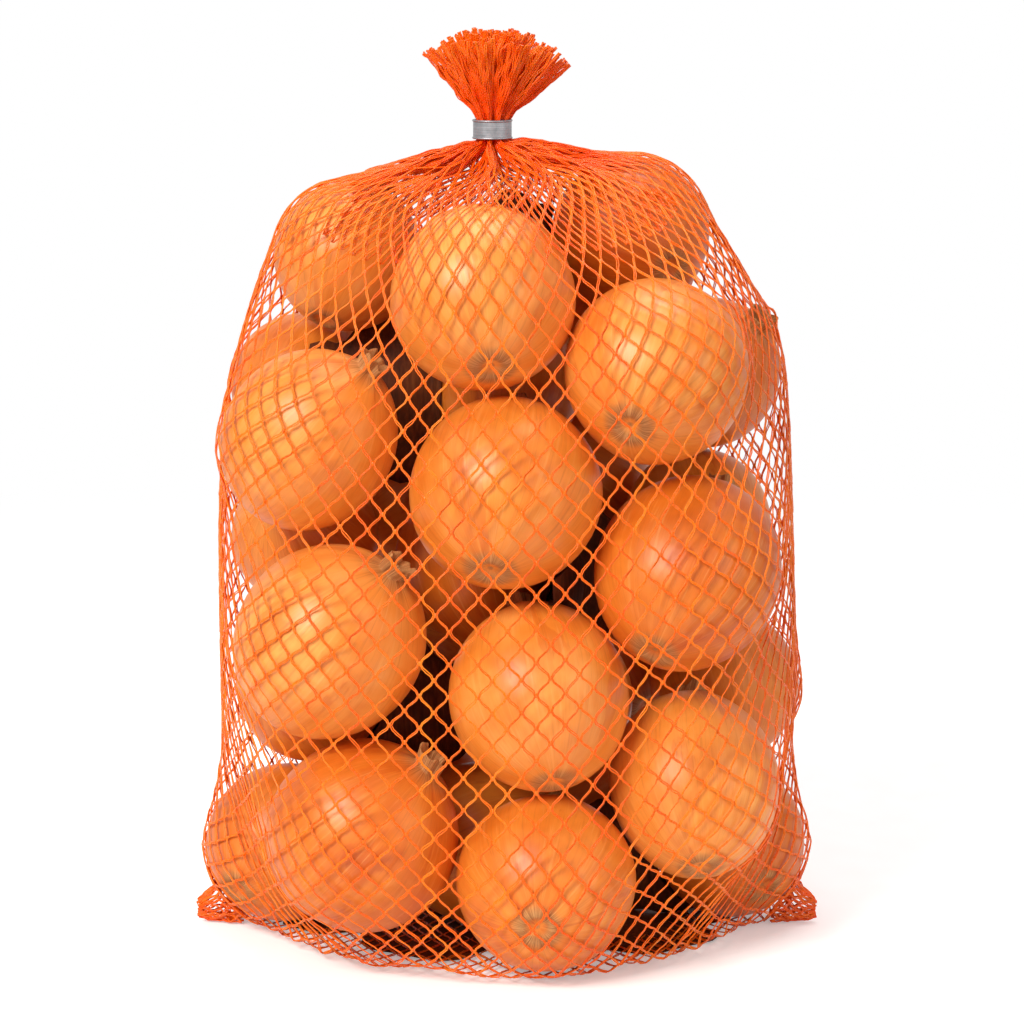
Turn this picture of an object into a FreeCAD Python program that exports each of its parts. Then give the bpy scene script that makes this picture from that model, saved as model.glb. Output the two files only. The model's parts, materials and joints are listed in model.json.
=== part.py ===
"""A filled mesh produce bag: an orange net sleeve round a stack of onions, closed with an aluminium clip.

The onions settle first. The net is then drawn round them, and the clip, tuft, seam and corners follow
the net. Millimetres, +Z up, origin on the floor under the middle of the bag, front towards -Y.
"""

import FreeCAD
import Part

import math
import os

from FreeCAD import Placement, Rotation, Vector

# Onions
ONION_DIAMETER = 74.0  # across the widest part of a middling onion
ONION_GAP = 0.3  # left between one onion and the next
NECK_LENGTH = 12.0  # dry neck beyond the top of the bulb
NECK_RADIUS = 5.6  # of the dry neck at its waist
NECK_FLARE = 1.6  # how much wider the dry neck is at its tip
NECK_FILLET = 6.0  # radius where the bulb's shoulder turns up into the neck
ROOT_RADIUS = 5.5  # of the root plate under the bulb
ROOT_DEPTH = 0.25  # how far the root plate is set into the bulb

# Net sleeve
NET_THICKNESS = 1.2  # of one layer of strands
NET_SLACK = 1.5  # between the net and the onions that it is drawn round
NECK_RISE = 5.3  # from the highest onion up to where the net is gathered
NECK_ASIDE = -5.7  # the gathered neck stands this far to one side
COLLAR_WIDTH = 3.0  # flat rim of the sleeve round the gathered neck
BASE_WIDTH = 206.0  # of the rounded patch that the slack net spreads into on the floor
BASE_DEPTH = 148.0

# Gathered neck and its clip
CLIP_DIAMETER = 15.2  # outside
CLIP_HEIGHT = 7.6
CLIP_WALL = 0.9
CLIP_LIP = 0.35  # how far the rolled edges stand out
CLIP_SLIT = 0.5  # butt joint at the back, where the bent strip's ends meet
GATHER_RADIUS = 9.0  # of the rounded bunch of net under the clip
SOFT_GAP = 0.3  # left round a soft piece, and where one bends

# Tuft above the clip
TUFT_LENGTH = 36.6  # of its strands, from the top of the clip
TUFT_FOOT = 5.2  # radius of the bunch where it leaves the clip
TUFT_RISE = 3.4  # height of the bend above the clip
TUFT_LEAN_LEFT = 38.0  # degrees from upright to the left flank
TUFT_LEAN_RIGHT = 51.0  # degrees from upright to the right flank
TUFT_LEAN_DEPTH = 25.0  # degrees from upright to the front and back flanks

# Bottom seam and the two corners of the flat sleeve
SEAM_WIDTH = 8.0
CORNER_LENGTH = 26.0
CORNER_HEIGHT = 17.5
CORNER_TIP = 6.0  # height of a corner's blunt outer end
CORNER_LEAN = 4.8  # how much further in a corner's top is than its end
CORNER_THICKNESS = 3.2
CORNER_OVERHANG = 3.5  # how far a corner reaches past the widest part of the bag

# How finely the net's outline is worked out
DIRECTIONS = 24  # round the bag
TILTS = 61  # from straight down to straight up
LEVELS = 27  # sections up the bag
SETTLE_SWEEPS = 500

# Each onion: its name, its place, its girth and height against a middling onion's diameter, and the
# way its dry neck points. Places count in onion diameters: across, back from the middle, and up.
ONIONS = (
    ("onion_front_1", (-0.28, -0.66, 3.44), 0.97, 1.00, (-0.10, 0.75, 0.65)),
    ("onion_front_2", (0.65, -0.58, 3.22), 0.97, 1.01, (0.30, 0.80, 0.45)),
    ("onion_front_3", (-0.90, -0.56, 2.88), 0.92, 1.00, (0.62, -0.20, 0.74)),
    ("onion_front_4", (-0.16, -0.78, 2.50), 1.02, 1.02, (0.15, 0.70, 0.68)),
    ("onion_front_5", (0.92, -0.65, 2.08), 0.98, 1.08, (0.35, 0.65, 0.65)),
    ("onion_front_6", (-0.76, -0.68, 1.84), 1.02, 1.07, (0.60, -0.25, 0.74)),
    ("onion_front_7", (0.13, -0.84, 1.22), 0.95, 1.02, (-0.15, 0.60, 0.78)),
    ("onion_front_8", (0.96, -0.61, 0.91), 0.91, 1.04, (-0.05, 0.70, 0.70)),
    ("onion_front_9", (-0.65, -0.78, 0.78), 1.03, 1.03, (0.66, -0.15, 0.72)),
    ("onion_front_10", (0.20, -0.86, 0.47), 0.95, 0.95, (0.10, 0.95, 0.25)),
    ("onion_left_1", (-0.88, 0.07, 3.68), 0.86, 0.88, (0.30, 0.50, 0.80)),
    ("onion_left_2", (-1.11, 0.35, 2.88), 0.79, 0.82, (0.40, 0.60, 0.70)),
    ("onion_left_3", (-1.12, 0.16, 2.09), 0.82, 0.82, (0.35, 0.65, -0.65)),
    ("onion_left_4", (-1.13, 0.10, 1.28), 0.85, 0.84, (0.50, 0.60, -0.60)),
    ("onion_left_5", (-1.20, 0.03, 0.47), 0.88, 0.90, (0.55, 0.70, 0.40)),
    ("onion_right_1", (0.77, 0.11, 3.66), 0.90, 0.88, (-0.50, 0.78, 0.35)),
    ("onion_right_2", (1.07, 0.24, 3.03), 0.82, 0.84, (0.60, -0.45, 0.66)),
    ("onion_right_3", (1.04, 0.22, 2.26), 0.82, 0.84, (-0.20, 0.70, 0.65)),
    ("onion_right_4", (1.18, 0.22, 1.27), 0.84, 0.86, (-0.20, 0.50, 0.80)),
    ("onion_right_5", (1.24, 0.12, 0.46), 0.86, 0.86, (-0.40, 0.80, 0.40)),
    ("onion_back_1", (-0.68, 0.86, 3.25), 0.94, 0.96, (0.20, -0.60, 0.75)),
    ("onion_back_2", (0.51, 0.92, 3.30), 0.95, 0.94, (0.60, 0.20, 0.75)),
    ("onion_back_3", (-0.62, 0.92, 2.38), 0.97, 0.98, (0.75, 0.35, 0.55)),
    ("onion_back_4", (0.56, 0.94, 2.32), 0.93, 0.98, (0.50, 0.60, -0.60)),
    ("onion_back_5", (-0.54, 0.92, 1.42), 0.92, 0.94, (0.70, 0.55, -0.45)),
    ("onion_back_6", (0.58, 0.92, 1.38), 0.97, 0.97, (-0.45, 0.65, 0.60)),
    ("onion_back_7", (-0.57, 0.84, 0.48), 0.93, 0.95, (0.10, -0.80, 0.60)),
    ("onion_back_8", (0.51, 0.89, 0.46), 0.92, 0.92, (0.80, 0.30, 0.50)),
    ("onion_core_1", (-0.07, 0.22, 3.14), 0.85, 0.88, (0.10, 0.35, 0.90)),
    ("onion_core_2", (0.00, 0.14, 2.25), 0.88, 0.90, (-0.30, 0.10, 0.95)),
    ("onion_core_3", (0.04, 0.14, 1.35), 0.87, 0.88, (0.20, 0.20, 0.95)),
    ("onion_core_4", (0.04, 0.11, 0.47), 0.90, 0.90, (0.90, 0.10, 0.40)),
)
FIRM = 12.0  # how much less an onion at the front or sides gives way than one behind them


class Onion:
    """A bulb that is an ellipsoid about its own axis, with a dry neck on top."""

    def __init__(self, name, place, girth, height, points):
        self.name = name
        self.seed = Vector(*place) * ONION_DIAMETER
        self.centre = Vector(self.seed)
        self.girth = girth * ONION_DIAMETER / 2
        self.half_height = height * ONION_DIAMETER / 2
        self.axis = Vector(*points).normalize()
        self.firmness = 1.0 if "back" in name or "core" in name else FIRM

    def support(self, direction):
        """How far the bulb reaches from its centre along a unit vector."""
        along = direction.dot(self.axis)
        return math.sqrt(self.girth**2 * (1 - along**2) + (self.half_height * along) ** 2)

    def radius_towards(self, direction):
        """From the bulb's centre to its skin along a unit vector."""
        along = direction.dot(self.axis)
        return 1 / math.sqrt((1 - along**2) / self.girth**2 + (along / self.half_height) ** 2)

    def neck_balls(self):
        """Balls that the dry neck stays inside: each one's centre and radius."""
        rim = NECK_RADIUS + NECK_FLARE
        top = NECK_LENGTH - rim / 2
        radius = math.hypot(rim, rim / 2)
        return [(self.centre + self.axis * (self.half_height + share * top), radius) for share in (0.3, 1.0)]

    def reach(self, direction):
        """How far the whole onion reaches from the origin along a unit vector."""
        bulb = self.centre.dot(direction) + self.support(direction)
        return max([bulb] + [ball.dot(direction) + radius for ball, radius in self.neck_balls()])

    def solid(self):
        """The onion: a root plate, the bulb, its shoulder and the flared dry neck, turned about its axis.

        The bulb's round has its centre past the axis, so it is drawn as a spline before it is turned.
        """
        low = -self.half_height + ROOT_DEPTH
        middle = (self.girth**2 - ROOT_RADIUS**2 - low**2) / (2 * (self.girth - ROOT_RADIUS))
        bend = self.girth - middle
        shoulder = math.acos((NECK_RADIUS + NECK_FILLET - middle) / (bend + NECK_FILLET))
        fillet = Vector(NECK_RADIUS + NECK_FILLET, 0, (bend + NECK_FILLET) * math.sin(shoulder))
        tip_height = self.half_height + NECK_LENGTH
        root = Vector(ROOT_RADIUS, 0, low)
        belly = Vector(self.girth, 0, 0)
        end = Vector(middle + bend * math.cos(shoulder), 0, bend * math.sin(shoulder))
        waist = Vector(NECK_RADIUS, 0, fillet.z)
        tip = Vector(NECK_RADIUS + NECK_FLARE, 0, tip_height)
        way = shoulder / 2
        between = fillet - Vector(math.cos(way), 0, math.sin(way)) * NECK_FILLET
        edges = [
            Part.LineSegment(Vector(0, 0, low), root).toShape(),
            Part.Arc(root, belly, end).toBSpline().toShape(),
            Part.Arc(end, between, waist).toShape(),
            Part.LineSegment(waist, tip).toShape(),
            Part.LineSegment(tip, Vector(0, 0, tip_height)).toShape(),
            Part.LineSegment(Vector(0, 0, tip_height), Vector(0, 0, low)).toShape(),
        ]
        body = Part.Face(Part.Wire(edges)).revolve(Vector(0, 0, 0), Vector(0, 0, 1), 360)
        body.Placement = Placement(self.centre, Rotation(Vector(0, 0, 1), self.axis))
        return body


def push_apart(one, other):
    """Moves two onions apart along the first line on which they are too near, and says how near they were."""
    away = other.centre - one.centre
    distance = away.Length
    if distance > 1.6 * ONION_DIAMETER + 2 * NECK_LENGTH:
        return 0.0
    line = away / distance
    pushes = [(line, one.support(line) + other.support(line) + ONION_GAP - distance)]
    for owner, bulb, sign in ((one, other, 1), (other, one, -1)):
        for ball, radius in owner.neck_balls():
            apart = bulb.centre - ball
            toward = apart / apart.Length
            pushes.append((toward * sign, bulb.radius_towards(toward) + radius + ONION_GAP - apart.Length))
    for ball, radius in one.neck_balls():
        for other_ball, other_radius in other.neck_balls():
            apart = other_ball - ball
            pushes.append((apart / apart.Length, radius + other_radius + ONION_GAP - apart.Length))
    line, need = max(pushes, key=lambda push: push[1])
    if need <= 0:
        return 0.0
    share = other.firmness / (one.firmness + other.firmness)
    one.centre -= line * (need * share)
    other.centre += line * (need * (1 - share))
    return need


def lift_off_floor(onion):
    """Keeps an onion above the net that it stands on."""
    low = -onion.reach(Vector(0, 0, -1))
    onion.centre.z += max(0.0, NET_THICKNESS + SOFT_GAP - low)


def settle(onions):
    """Lets the onions find places near their seeds where none lies in another and each one is carried."""
    for sweep in range(SETTLE_SWEEPS):
        stage = sweep / SETTLE_SWEEPS
        pull = 0.10 * max(0.0, 1 - 2.5 * stage)
        sink = 0.25 * max(0.0, min(1.0, 4 * stage) - 1.2 * stage)
        for onion in onions:
            onion.centre += (onion.seed - onion.centre) * pull
            inward = Vector(-onion.centre.x, -onion.centre.y, -0.5 * ONION_DIAMETER)
            onion.centre += inward.normalize() * (sink / onion.firmness)
        worst = 0.0
        for index, one in enumerate(onions):
            for other in onions[index + 1 :]:
                worst = max(worst, push_apart(one, other))
        for onion in onions:
            lift_off_floor(onion)
        if sink == 0 and worst < 0.01:
            break
    return worst


def centre_over_seam(onions):
    """Moves the whole stack so that it reaches equally far left and right, and front and back."""
    for axis in (Vector(1, 0, 0), Vector(0, 1, 0)):
        ahead = max(onion.reach(axis) for onion in onions)
        behind = max(onion.reach(axis * -1) for onion in onions)
        for onion in onions:
            onion.centre -= axis * ((ahead - behind) / 2)


def unit(around, tilt):
    """The unit vector at an angle round the bag and a tilt above level, both in radians."""
    return Vector(math.cos(around) * math.cos(tilt), math.sin(around) * math.cos(tilt), math.sin(tilt))


def raised(column):
    """Poles moved out by what a smooth curve would cut off their corners, so that it meets the old ones."""
    inner = [
        here - (before - here * 2 + after) / 6
        for before, here, after in zip(column, column[1:], column[2:])
    ]
    return column[:1] + inner + column[-1:]


class Wrap:
    """The smallest rounded shape round all the onions and the gathered neck, grown by a margin."""

    def __init__(self, onions, neck, margin):
        self.turns = [2 * math.pi * k / DIRECTIONS for k in range(DIRECTIONS)]
        half = math.pi / 2
        self.tilts = [-half + math.pi * (j + 0.5) / TILTS for j in range(TILTS)]
        rim = GATHER_RADIUS + COLLAR_WIDTH + margin - NET_SLACK
        self.top = neck.z + min(0.0, margin - NET_SLACK - NET_THICKNESS)
        self.bottom = max(0.0, NET_THICKNESS + NET_SLACK - margin)
        collar = Vector(neck.x, neck.y, self.top)
        self.supports = {}
        for k, around in enumerate(self.turns):
            patch = math.hypot(BASE_WIDTH / 2 * math.cos(around), BASE_DEPTH / 2 * math.sin(around))
            for j, tilt in enumerate(self.tilts):
                direction = unit(around, tilt)
                far = max(onion.reach(direction) for onion in onions) + margin
                at_collar = collar.dot(direction) + rim * math.cos(tilt)
                at_base = self.bottom * math.sin(tilt) + (patch + margin) * math.cos(tilt)
                self.supports[k, j] = max(far, at_collar, at_base)

    def offset(self, k, height):
        """How far the section at a height reaches in direction k."""
        reaches = []
        for j, tilt in enumerate(self.tilts):
            reaches.append((self.supports[k, j] - height * math.sin(tilt)) / math.cos(tilt))
        return min(reaches)

    def poles(self, height):
        """Corners of the many-sided section at a height."""
        reaches = [self.offset(k, height) for k in range(DIRECTIONS)]
        step = 2 * math.pi / DIRECTIONS
        corners = []
        for k, turn in enumerate(self.turns):
            here = reaches[k]
            after = reaches[(k + 1) % DIRECTIONS]
            along = (after - here * math.cos(step)) / math.sin(step)
            x = here * math.cos(turn) - along * math.sin(turn)
            y = here * math.sin(turn) + along * math.cos(turn)
            corners.append(Vector(x, y, height))
        return corners

    def widest(self, k):
        """The furthest that the whole shape reaches in direction k."""
        return max(self.offset(k, height) for height in self.heights())

    def heights(self):
        """Heights of the sections, closer together at the foot and the crown."""
        rise = self.top - self.bottom
        return [
            self.bottom + rise * (1 - math.cos(math.pi * i / (LEVELS - 1))) / 2 for i in range(LEVELS)
        ]

    def solid(self):
        """A smooth closed solid through the sections, flat at the foot and the crown."""
        rows = [self.poles(height) for height in self.heights()]
        grid = [raised([rows[i][k] for i in range(LEVELS)]) for k in range(DIRECTIONS)]
        surface = Part.BSplineSurface()
        around = [float(k) for k in range(DIRECTIONS + 1)]
        upward = [float(i) for i in range(LEVELS - 2)]
        ends = [4] + [1] * (LEVELS - 4) + [4]
        surface.buildFromPolesMultsKnots(
            grid, [1] * (DIRECTIONS + 1), ends, around, upward, True, False, 3, 3
        )
        side = surface.toShape()
        rims = [edge for edge in side.Edges if edge.BoundBox.ZLength < 1e-6]
        caps = [Part.Face(Part.Wire([rim])) for rim in rims]
        shell = Part.Shell([side] + caps)
        shell.sewShape()
        body = Part.Solid(shell)
        if body.Volume < 0:
            body.reverse()
        return body


def ball(radius, centre):
    """A ball round a point."""
    return Part.makeSphere(radius, centre)


def slab(low, high):
    """A box between two opposite corners."""
    size = high - low
    return Part.makeBox(size.x, size.y, size.z, low)


def net_halves(outer, inner, neck, seam_slot):
    """The front and back of the sleeve: one skin with room for the neck and the seam, cut across."""
    skin = outer.cut(inner).cut(ball(GATHER_RADIUS + SOFT_GAP, neck)).cut(seam_slot)
    bounds = outer.BoundBox
    far = bounds.DiagonalLength
    front = slab(Vector(-far, -far, -far), Vector(far, 0, far))
    return skin.common(front), skin.cut(front)


def seam(left, right):
    """The strip that closes the bottom of the sleeve, from corner to corner."""
    half = SEAM_WIDTH / 2
    return slab(Vector(-left, -half, 0), Vector(right, half, NET_THICKNESS))


def corner(tip, side, clear_of):
    """One corner of the flat sleeve, standing out where the round bag leaves it empty."""
    half = CORNER_THICKNESS / 2
    foot = NET_THICKNESS
    outline = [
        Vector(side * (tip - CORNER_LENGTH), -half, foot),
        Vector(side * tip, -half, foot),
        Vector(side * tip, -half, CORNER_TIP),
        Vector(side * (tip - CORNER_LEAN), -half, CORNER_HEIGHT),
        Vector(side * (tip - CORNER_LENGTH), -half, CORNER_HEIGHT),
    ]
    face = Part.Face(Part.makePolygon(outline + outline[:1]))
    body = face.extrude(Vector(0, CORNER_THICKNESS, 0)).cut(clear_of)
    return max(body.Solids, key=lambda solid: solid.Volume)


def neck_piece(neck):
    """The gathered net: a rounded bunch under the clip and the stem that the clip grips."""
    bunch = ball(GATHER_RADIUS, neck).common(
        slab(neck - Vector(1, 1, 1) * 2 * GATHER_RADIUS, neck + Vector(2, 2, 0) * GATHER_RADIUS)
    )
    stem = CLIP_DIAMETER / 2 - CLIP_WALL - SOFT_GAP
    post = Part.makeCylinder(stem, SOFT_GAP + CLIP_HEIGHT, neck)
    return bunch.fuse(post).cut(ball(TUFT_FOOT + SOFT_GAP, bend_above(neck))).removeSplitter()


def bend_above(neck):
    """Where the tuft bends."""
    return neck + Vector(0, 0, SOFT_GAP + CLIP_HEIGHT + TUFT_RISE)


def clip_piece(neck):
    """A strip of aluminium bent round the neck, with rolled edges and a butt joint at the back."""
    outer = CLIP_DIAMETER / 2
    inner = outer - CLIP_WALL
    foot = neck.z + SOFT_GAP
    head = foot + CLIP_HEIGHT
    lip = CLIP_WALL
    wall = [
        Vector(inner, 0, foot),
        Vector(outer, 0, foot),
        Vector(outer + CLIP_LIP, 0, foot + lip / 2),
        Vector(outer, 0, foot + lip),
        Vector(outer, 0, head - lip),
        Vector(outer + CLIP_LIP, 0, head - lip / 2),
        Vector(outer, 0, head),
        Vector(inner, 0, head),
    ]
    edges = [
        Part.LineSegment(wall[0], wall[1]).toShape(),
        Part.Arc(wall[1], wall[2], wall[3]).toShape(),
        Part.LineSegment(wall[3], wall[4]).toShape(),
        Part.Arc(wall[4], wall[5], wall[6]).toShape(),
        Part.LineSegment(wall[6], wall[7]).toShape(),
        Part.LineSegment(wall[7], wall[0]).toShape(),
    ]
    ring = Part.Face(Part.Wire(edges)).revolve(Vector(0, 0, 0), Vector(0, 0, 1), 360)
    slit = slab(
        Vector(-CLIP_SLIT / 2, 0, foot - CLIP_WALL), Vector(CLIP_SLIT / 2, 2 * outer, head + CLIP_WALL)
    )
    ring = ring.cut(slit)
    ring.translate(Vector(neck.x, neck.y, 0))
    return ring


def tuft_piece(bend):
    """The spread ends above the clip: all of one length from it, leaning out on every side."""
    left, right, deep = (
        TUFT_FOOT + TUFT_LENGTH * math.tan(math.radians(lean))
        for lean in (TUFT_LEAN_LEFT, TUFT_LEAN_RIGHT, TUFT_LEAN_DEPTH)
    )
    foot = Part.makeCircle(TUFT_FOOT, bend)
    brim = Part.Ellipse(bend + Vector((right - left) / 2, 0, TUFT_LENGTH), (left + right) / 2, deep)
    spread = Part.makeLoft([Part.Wire([foot]), Part.Wire([brim.toShape()])], True)
    trimmed = spread.common(ball(TUFT_LENGTH, bend - Vector(0, 0, TUFT_RISE)))
    below = slab(bend - Vector(2, 2, 2) * TUFT_FOOT, bend + Vector(2, 2, 0) * TUFT_FOOT)
    return trimmed.fuse(ball(TUFT_FOOT, bend).common(below)).removeSplitter()


def build():
    """Every piece of the bag, by name."""
    onions = [Onion(*row) for row in ONIONS]
    print("onions still too near by", round(settle(onions), 4))
    centre_over_seam(onions)
    highest = max(onion.centre.z + onion.support(Vector(0, 0, 1)) for onion in onions)
    neck = Vector(NECK_ASIDE, 0, highest + NECK_RISE)
    inside = Wrap(onions, neck, NET_SLACK)
    outside = Wrap(onions, neck, NET_SLACK + NET_THICKNESS)
    clear = Wrap(onions, neck, NET_SLACK + NET_THICKNESS + SOFT_GAP)
    right_tip = outside.widest(0) + CORNER_OVERHANG
    left_tip = outside.widest(DIRECTIONS // 2) + CORNER_OVERHANG
    strip = seam(left_tip, right_tip)
    clear_of = clear.solid()
    pieces = {"bottom_seam": strip}
    pieces["net_front"], pieces["net_back"] = net_halves(outside.solid(), inside.solid(), neck, strip)
    pieces["corner_left"] = corner(left_tip, -1, clear_of)
    pieces["corner_right"] = corner(right_tip, 1, clear_of)
    pieces["net_neck"] = neck_piece(neck)
    pieces["clip"] = clip_piece(neck)
    bend = bend_above(neck)
    pieces["net_tuft"] = tuft_piece(bend)
    for onion in onions:
        pieces[onion.name] = onion.solid()
    print("neck at", neck, "bend at", bend)
    return pieces


os.makedirs("parts", exist_ok=True)
for name, piece in build().items():
    solids = len(piece.Solids)
    print(name, "solids", solids, "valid", piece.isValid(), "volume", round(piece.Volume))
    piece.exportStep(f"parts/{name}.step")
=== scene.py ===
"""A net sack of brown onions: an orange knitted net, gathered by a ring clip, round dry-skinned bulbs."""
import json
import math

import bpy
import numpy as np
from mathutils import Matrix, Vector
from mathutils.bvhtree import BVHTree


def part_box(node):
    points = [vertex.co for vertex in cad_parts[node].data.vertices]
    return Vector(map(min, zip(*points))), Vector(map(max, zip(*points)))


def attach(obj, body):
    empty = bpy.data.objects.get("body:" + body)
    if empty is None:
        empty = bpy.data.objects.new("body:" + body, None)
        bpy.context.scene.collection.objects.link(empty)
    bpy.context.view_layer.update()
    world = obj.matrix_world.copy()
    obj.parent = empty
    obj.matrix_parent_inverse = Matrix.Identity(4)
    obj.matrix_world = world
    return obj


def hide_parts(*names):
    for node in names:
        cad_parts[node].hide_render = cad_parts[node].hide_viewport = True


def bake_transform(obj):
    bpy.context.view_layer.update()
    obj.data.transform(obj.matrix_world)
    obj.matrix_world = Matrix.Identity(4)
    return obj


MM = 0.001

# Net, in metres unless the name says otherwise
COLUMNS = 68  # knots round the bag
ROWS = 70  # half cells from the bottom seam up to the clip
STRAND = 7.96 * MM  # from one knot to the next
SLACK_SHARE = 0.72  # of a strand's length, where it stops pulling
NET_LIFT = 0.85 * MM  # middle of the yarn above an onion's skin
FLOOR_LIFT = 0.95 * MM
TAUT = 4.0  # how much stiffer a strand is once it is at its full length
HOLD = 0.22  # how firmly a knot keeps its place along the bag's skin, against a strand's pull
BASE_HOLD = 25.0  # the same for a knot that lies at the foot of the bag
SWEEPS = 260
SEAM_END = 119.0 * MM  # half the length of the bottom seam
OUTLINE_POINTS = 180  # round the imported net, at each height where its outline is read
PLEATS = 11  # folds in which the net runs into the clip
PLEAT_TURN = 0.6  # where round the bag the first fold lies, in radians
SMALL_PLEATS = 23
SMALL_PLEAT_TURN = 1.7
PLEAT_DEPTH = 2.6 * MM
PLEAT_REACH = 75.0 * MM  # from the gathered neck to where the net lies smooth
FILAMENT = 0.26 * MM  # radius of one of the two filaments in a strand
PARTING = 0.28 * MM  # half the distance between them
JOINT_HALF = 0.42 * MM  # half the distance between two strands where they are knitted together
FILAMENT_SIDES = 5
STEPS = 4  # pieces in each strand's curve
SWELL = 1.0  # how far a strand swings out from a straight line between its joints
JOINT_SIZE = 0.85  # of a knitted joint, against loop_bead's own size
NET_PARTS = 8
CROWN_ROWS = 11  # rows below the clip in which the net lies folded
FOLD_DEPTH = 2.4 * MM  # from the net to the inner side of its folds there
TUFT_ROWS = 6
TUFT_LAYERS = ((1.0, 0.04), (0.76, 0.12), (0.45, 0.20))  # lean, and how much it varies, outer layer first
EAR_COLUMNS = 15  # knots round a corner of the bag
EAR_ROWS = 8

# Onions
AROUND = 88  # points round a bulb
ALONG = 64  # points from its root to its neck
NECK_REACH = 12.0 * MM  # from the bulb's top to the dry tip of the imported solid
NECK_SHOWN = 7.0 * MM  # the same for the shrivelled neck that is seen
ROOT_INSET = 0.25 * MM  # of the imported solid's root plate
SHRUNK = {"onion_left_1": 0.93, "onion_right_1": 0.96}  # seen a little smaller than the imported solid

# Loose skins between the onions, darkened as painted shade for the gaps
SKIN_RINGS = 12
SKIN_POINTS = 40  # in each ring
SKIN_THICKNESS = 0.2 * MM
SKIN_LIFT = 0.4 * MM  # above the onion that it lies on
DRAPES = 14
SHADE_FILLING_SKINS = (  # middle and radius in mm, how far it lies back from upright, and its turn, in degrees
    (-43.0, 0.0, 217.0, 34.0, 0, 0),
    (-47.0, 0.0, 86.0, 34.0, 0, 0),
    (25.0, 0.0, 144.0, 32.0, 0, 0),
    (57.0, 0.0, 30.0, 30.0, 0, 0),
    (6.0, 10.0, 276.0, 20.0, 0, 0),
    (-26.0, -9.0, 3.8, 41.0, 90, 0),
    (42.0, -8.0, 3.4, 40.0, 90, 0),
    (-64.0, 4.0, 3.2, 25.0, 90, 0),
    (68.0, 6.0, 3.0, 22.0, 90, 0),
    (28.0, -22.0, 150.0, 40.0, 0, 90),
    (18.0, -6.0, 262.0, 22.0, 0, 90),
)

# Studio
WARM_WHITE = (1.0, 0.965, 0.92)
SURROUND_LIGHT = 0.34  # of the white surround, where it lights the object
FLOOR_GLOW = 0.30
FLOOR_HALF = 6.0
LAMPS = (  # name, place in metres, size, power, colour
    ("key", (-1.15, -1.6, 1.65), 1.2, 60.0, WARM_WHITE),
    ("fill", (1.7, -1.3, 0.9), 1.6, 9.0, (1.0, 0.98, 0.96)),
    ("top", (0.2, 0.3, 1.9), 1.2, 15.0, (1, 1, 1)),
)
EYE = Vector((0.002, -1.4, 0.414))
LOOKS_AT = Vector((0.002, 0, 0.170))
LAMPS_AT = Vector((0, 0, 0.16))
LENS = 124.9  # mm, on a 36 mm sensor

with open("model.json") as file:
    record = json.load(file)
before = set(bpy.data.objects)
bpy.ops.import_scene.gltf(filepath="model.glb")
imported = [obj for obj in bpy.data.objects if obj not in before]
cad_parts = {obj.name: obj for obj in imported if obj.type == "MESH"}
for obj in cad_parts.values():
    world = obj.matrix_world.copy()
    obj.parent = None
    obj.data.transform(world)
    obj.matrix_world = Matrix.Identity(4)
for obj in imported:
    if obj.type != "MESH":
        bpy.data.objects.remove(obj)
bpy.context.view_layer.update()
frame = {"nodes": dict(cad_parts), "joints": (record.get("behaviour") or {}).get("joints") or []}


def joint_place(name):
    return np.array([joint for joint in frame["joints"] if joint["name"] == name][0]["pos_m"])


neck_joint = joint_place("neck_lean")


def srgb(red, green, blue):
    """A colour given from 0 to 255, as a picture editor shows it, for a shader."""
    steps = [channel / 255 for channel in (red, green, blue)]
    return [s / 12.92 if s < 0.04045 else ((s + 0.055) / 1.055) ** 2.4 for s in steps] + [1.0]


# Shader helpers


class Sum:
    """A shader socket. Each operator that is used on it adds a Math node."""

    def __init__(self, nodes, socket):
        self.nodes = nodes
        self.socket = socket

    def maths(self, operation, *values):
        return self.nodes.node("ShaderNodeMath", {"operation": operation}, dict(enumerate(values)))

    def __add__(self, other):
        return self.maths("ADD", self, other)

    def __sub__(self, other):
        return self.maths("SUBTRACT", self, other)

    def __mul__(self, other):
        return self.maths("MULTIPLY", self, other)

    __radd__ = __add__
    __rmul__ = __mul__


class Nodes:
    """A shader tree that is being built."""

    def __init__(self, tree):
        self.tree = tree

    def node(self, kind, settings=None, sockets=None, out=0):
        """One node: its settings go in first, then the values or links of its sockets."""
        made = self.tree.nodes.new(kind)
        for name, value in (settings or {}).items():
            if name == "stops":
                self.set_stops(made.color_ramp, value)
            else:
                setattr(made, name, value)
        for name, value in (sockets or {}).items():
            self.feed(made.inputs[name], value)
        return Sum(self, made.outputs[out])

    def set_stops(self, ramp, stops):
        while len(ramp.elements) < len(stops):
            ramp.elements.new(0.5)
        for element, (place, colour) in zip(ramp.elements, stops):
            element.position = place
            element.color = colour

    def feed(self, socket, value):
        if isinstance(value, Sum):
            self.tree.links.new(value.socket, socket)
        else:
            socket.default_value = value

    def seen(self, *kinds):
        """1 for a ray of one of the kinds and 0 for any other."""
        path = self.node("ShaderNodeLightPath").socket.node.outputs
        found = Sum(self, path[f"Is {kinds[0]} Ray"])
        for kind in kinds[1:]:
            found = found.maths("MAXIMUM", found, Sum(self, path[f"Is {kind} Ray"]))
        return found


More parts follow.
